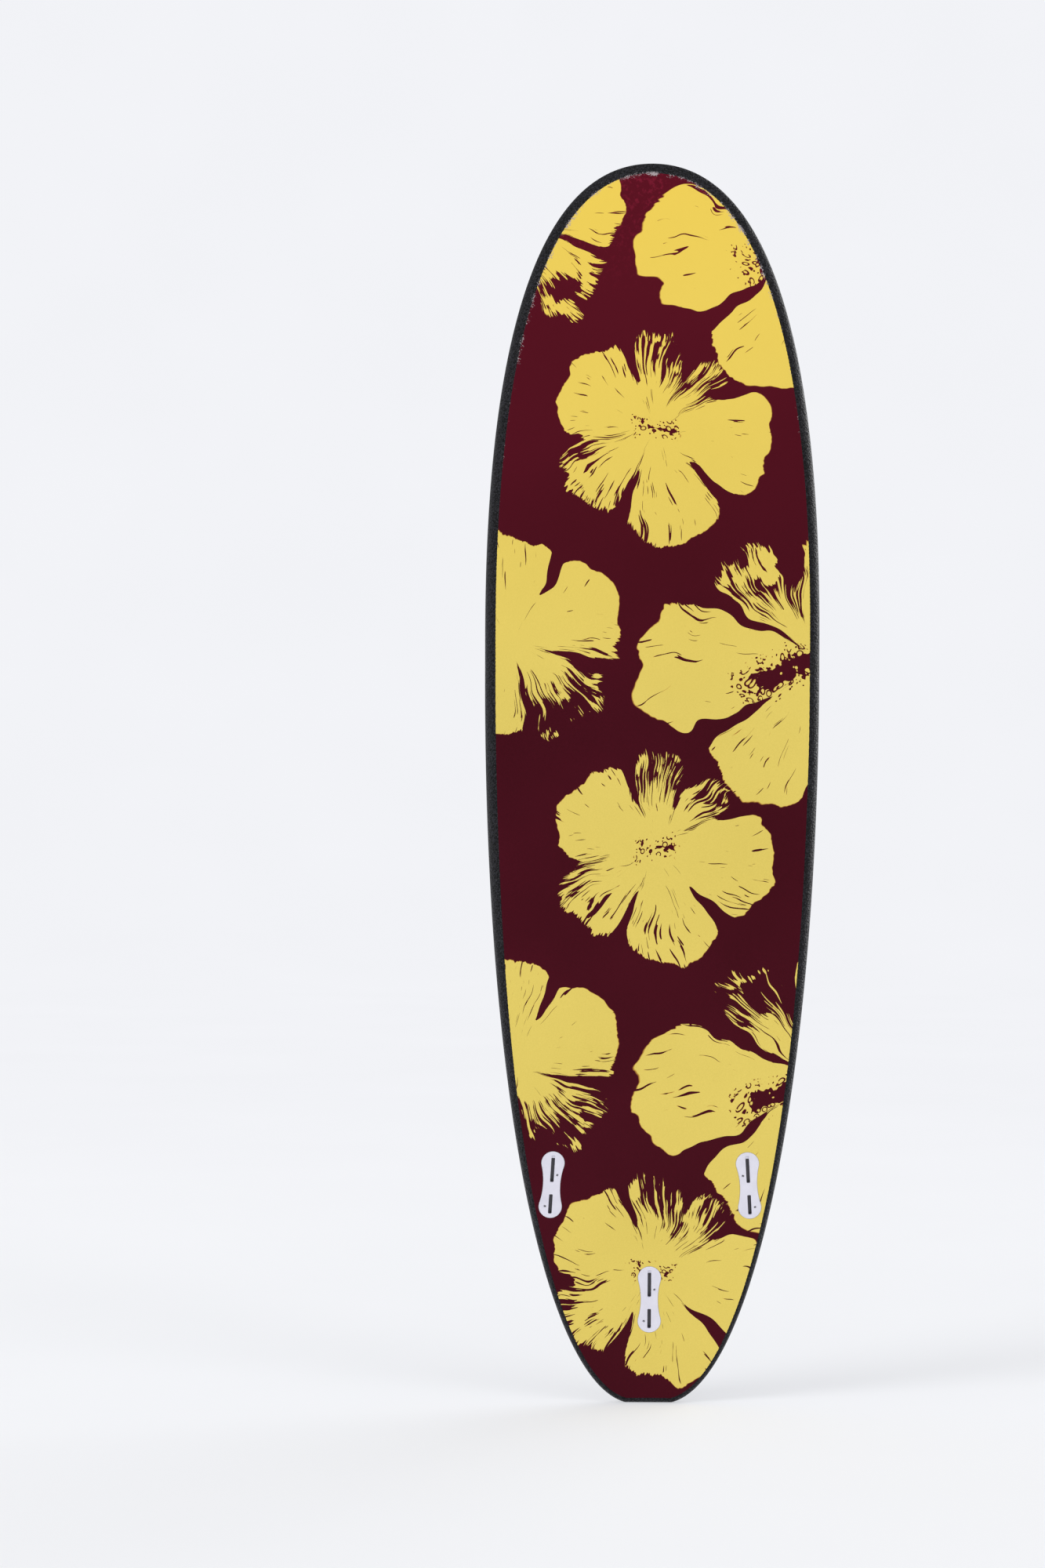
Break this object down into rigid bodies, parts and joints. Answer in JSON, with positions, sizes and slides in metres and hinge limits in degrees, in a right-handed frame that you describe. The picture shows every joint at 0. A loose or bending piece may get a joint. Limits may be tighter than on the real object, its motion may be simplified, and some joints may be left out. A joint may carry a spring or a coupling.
{
  "type": "surfboard",
  "caption": "Soft-top surfboard with a foam deck, a hard slick bottom, three two-tab fin boxes and a leash plug, stood on its tail.",
  "frame": {"origin": "centre of the flat face at the end of the tail", "axes": "+Z from the tail to the nose, +Y towards the deck side, -Y towards the bottom with the fin boxes, +X to the right as the bottom is seen"},
  "size_m": [0.5714, 0.1148, 2.134],
  "materials": {
    "deck_foam": "pebbled",
    "slick": "satin",
    "core_foam": "matte",
    "dense_foam": "matte",
    "stringer_wood": "matte",
    "box_plastic": "satin",
    "cup_plastic": "satin",
    "screw_steel": "satin",
    "spring_rubber": "matte",
    "string_cord": "braided"
  },
  "bodies": {
    "board": {"deck_skin": "deck_foam", "bottom_slick": "slick", "slick_backing": "core_foam", "core_left": "core_foam", "core_centre": "core_foam", "core_right": "core_foam", "stringer_left": "stringer_wood", "stringer_right": "stringer_wood", "fin_box_left": "box_plastic", "fin_block_left": "dense_foam", "roller_spring_left": "spring_rubber", "fin_box_right": "box_plastic", "fin_block_right": "dense_foam", "roller_spring_right": "spring_rubber", "fin_box_centre": "box_plastic", "fin_block_centre": "dense_foam", "roller_spring_centre": "spring_rubber", "leash_block": "dense_foam", "leash_cup": "cup_plastic", "leash_pin": "screw_steel", "leash_string": "string_cord", "leash_knot": "string_cord"},
    "front_grub_left": {"front_grub_left": "screw_steel"},
    "rear_grub_left": {"rear_grub_left": "screw_steel"},
    "roller_left": {"roller_left": "screw_steel"},
    "front_grub_right": {"front_grub_right": "screw_steel"},
    "rear_grub_right": {"rear_grub_right": "screw_steel"},
    "roller_right": {"roller_right": "screw_steel"},
    "front_grub_centre": {"front_grub_centre": "screw_steel"},
    "rear_grub_centre": {"rear_grub_centre": "screw_steel"},
    "roller_centre": {"roller_centre": "screw_steel"}
  },
  "joints": [
    {"name": "front_grub_left_slide", "type": "slide", "parent": "board", "child": "front_grub_left", "axis": [-0.6146, 0.7845, 0.083], "range_m": [0, 0.0025]},
    {"name": "rear_grub_left_slide", "type": "slide", "parent": "board", "child": "rear_grub_left", "axis": [0.6146, 0.7888, 0.0101], "range_m": [0, 0.0025]},
    {"name": "roller_left_slide", "type": "slide", "parent": "board", "child": "roller_left", "axis": [0.0593, -0.059, 0.9965], "range_m": [0, 0.0015], "stiffness_N_per_m": 3000, "deforming": ["roller_spring_left"]},
    {"name": "front_grub_right_slide", "type": "slide", "parent": "board", "child": "front_grub_right", "axis": [0.6146, 0.7845, 0.083], "range_m": [0, 0.0025]},
    {"name": "rear_grub_right_slide", "type": "slide", "parent": "board", "child": "rear_grub_right", "axis": [-0.6146, 0.7888, 0.0101], "range_m": [0, 0.0025]},
    {"name": "roller_right_slide", "type": "slide", "parent": "board", "child": "roller_right", "axis": [-0.0593, -0.059, 0.9965], "range_m": [0, 0.0015], "stiffness_N_per_m": 3000, "deforming": ["roller_spring_right"]},
    {"name": "front_grub_centre_slide", "type": "slide", "parent": "board", "child": "front_grub_centre", "axis": [-0.6157, 0.7857, 0.0607], "range_m": [0, 0.0025]},
    {"name": "rear_grub_centre_slide", "type": "slide", "parent": "board", "child": "rear_grub_centre", "axis": [0.6157, 0.7857, 0.0607], "range_m": [0, 0.0025]},
    {"name": "roller_centre_slide", "type": "slide", "parent": "board", "child": "roller_centre", "axis": [0, -0.077, 0.997], "range_m": [0, 0.0015], "stiffness_N_per_m": 3000, "deforming": ["roller_spring_centre"]}
  ]
}
